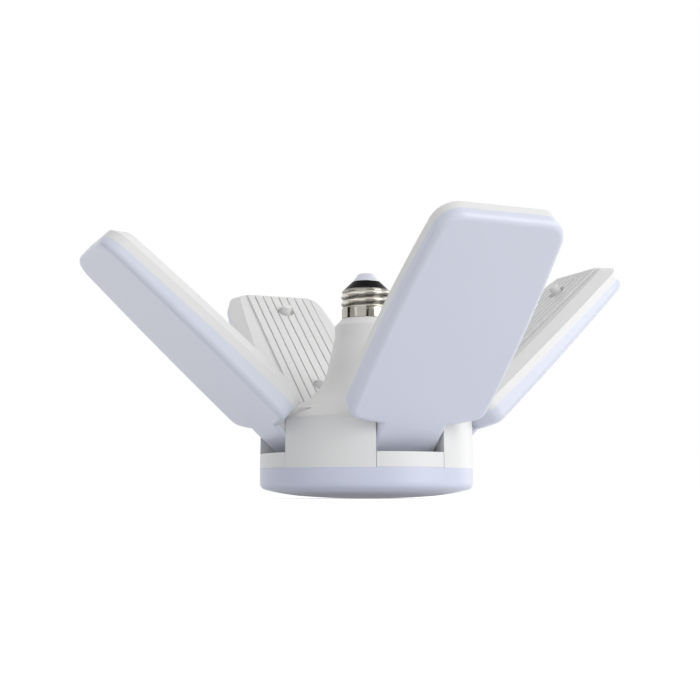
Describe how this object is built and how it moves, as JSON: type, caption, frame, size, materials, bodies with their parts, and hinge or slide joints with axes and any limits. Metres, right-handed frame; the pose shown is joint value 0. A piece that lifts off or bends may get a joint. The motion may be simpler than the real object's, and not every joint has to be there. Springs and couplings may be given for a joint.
{
  "type": "folding garage light",
  "caption": "Screw-in ceiling lamp: a white flared hub with a milky light and four flat light leaves on friction hinges that fold up around the neck.",
  "frame": {"origin": "centre of the screw shell's lower rim, on the screw base's axis", "axes": "+Z along the screw axis towards the contact at the tip, -Y towards the nearest leaf"},
  "size_m": [0.2872, 0.2901, 0.1255],
  "materials": {
    "white_plastic": "satin white moulded plastic",
    "milky_cover": "milky translucent plastic",
    "white_casting": "cast, powder coated white",
    "nickel_plate": "bright rolled nickel plate",
    "black_insulator": "glazed black",
    "tip_solder": "dull tinned",
    "board_white": "white solder mask",
    "led_yellow": "phosphor chip",
    "steel_screw": "zinc plated",
    "board_green": "green solder mask",
    "ferrite_dark": "ferrite and tape",
    "capacitor_sleeve": "shrink sleeve",
    "film_red": "dipped film",
    "chip_black": "moulded package",
    "resistor_body": "lacquered",
    "terminal_plastic": "moulded",
    "lead_red": "insulated wire",
    "lead_black": "insulated wire",
    "lead_white": "insulated wire",
    "bearing_plastic": "acetal"
  },
  "bodies": {
    "lamp_body": {"neck_housing": "white_plastic", "base_tray": "white_plastic", "hub_diffuser": "milky_cover", "screw_shell": "nickel_plate", "base_insulator": "black_insulator", "centre_contact": "tip_solder", "hub_led_board": "board_white", "hub_leds": "led_yellow", "tray_screws": "steel_screw", "hub_board_screws": "steel_screw", "terminal_block": "terminal_plastic", "driver_board": "board_green", "driver_transformer": "ferrite_dark", "driver_capacitor": "capacitor_sleeve", "driver_inductor": "ferrite_dark", "film_capacitor": "film_red", "bridge_rectifier": "chip_black", "fuse_resistor": "resistor_body", "live_lead": "lead_red", "neutral_lead": "lead_black", "front_hinge_bolt": "steel_screw", "front_hinge_bushing": "bearing_plastic", "front_friction_washers": "bearing_plastic", "front_hub_lead": "lead_white", "right_hinge_bolt": "steel_screw", "right_hinge_bushing": "bearing_plastic", "right_friction_washers": "bearing_plastic", "right_hub_lead": "lead_white", "back_hinge_bolt": "steel_screw", "back_hinge_bushing": "bearing_plastic", "back_friction_washers": "bearing_plastic", "back_hub_lead": "lead_white", "left_hinge_bolt": "steel_screw", "left_hinge_bushing": "bearing_plastic", "left_friction_washers": "bearing_plastic", "left_hub_lead": "lead_white"},
    "front_leaf": {"front_heat_sink": "white_casting", "front_diffuser": "milky_cover", "front_led_board": "board_white", "front_leds": "led_yellow", "front_board_screws": "steel_screw", "front_leaf_lead": "lead_white"},
    "right_leaf": {"right_heat_sink": "white_casting", "right_diffuser": "milky_cover", "right_led_board": "board_white", "right_leds": "led_yellow", "right_board_screws": "steel_screw", "right_leaf_lead": "lead_white"},
    "back_leaf": {"back_heat_sink": "white_casting", "back_diffuser": "milky_cover", "back_led_board": "board_white", "back_leds": "led_yellow", "back_board_screws": "steel_screw", "back_leaf_lead": "lead_white"},
    "left_leaf": {"left_heat_sink": "white_casting", "left_diffuser": "milky_cover", "left_led_board": "board_white", "left_leds": "led_yellow", "left_board_screws": "steel_screw", "left_leaf_lead": "lead_white"}
  },
  "joints": [
    {"name": "front_leaf_hinge", "type": "hinge", "parent": "lamp_body", "child": "front_leaf", "pos_m": [0, -0.04, -0.062], "axis": [-1, 0, 0], "range_deg": [-40.2, 19.8]},
    {"name": "right_leaf_hinge", "type": "hinge", "parent": "lamp_body", "child": "right_leaf", "pos_m": [0.04, 0, -0.062], "axis": [0, -1, 0], "range_deg": [-41.8, 18.2]},
    {"name": "back_leaf_hinge", "type": "hinge", "parent": "lamp_body", "child": "back_leaf", "pos_m": [0, 0.04, -0.062], "axis": [1, 0, 0], "range_deg": [-40.3, 19.7]},
    {"name": "left_leaf_hinge", "type": "hinge", "parent": "lamp_body", "child": "left_leaf", "pos_m": [-0.04, 0, -0.062], "axis": [0, 1, 0], "range_deg": [-40.6, 19.4]}
  ]
}
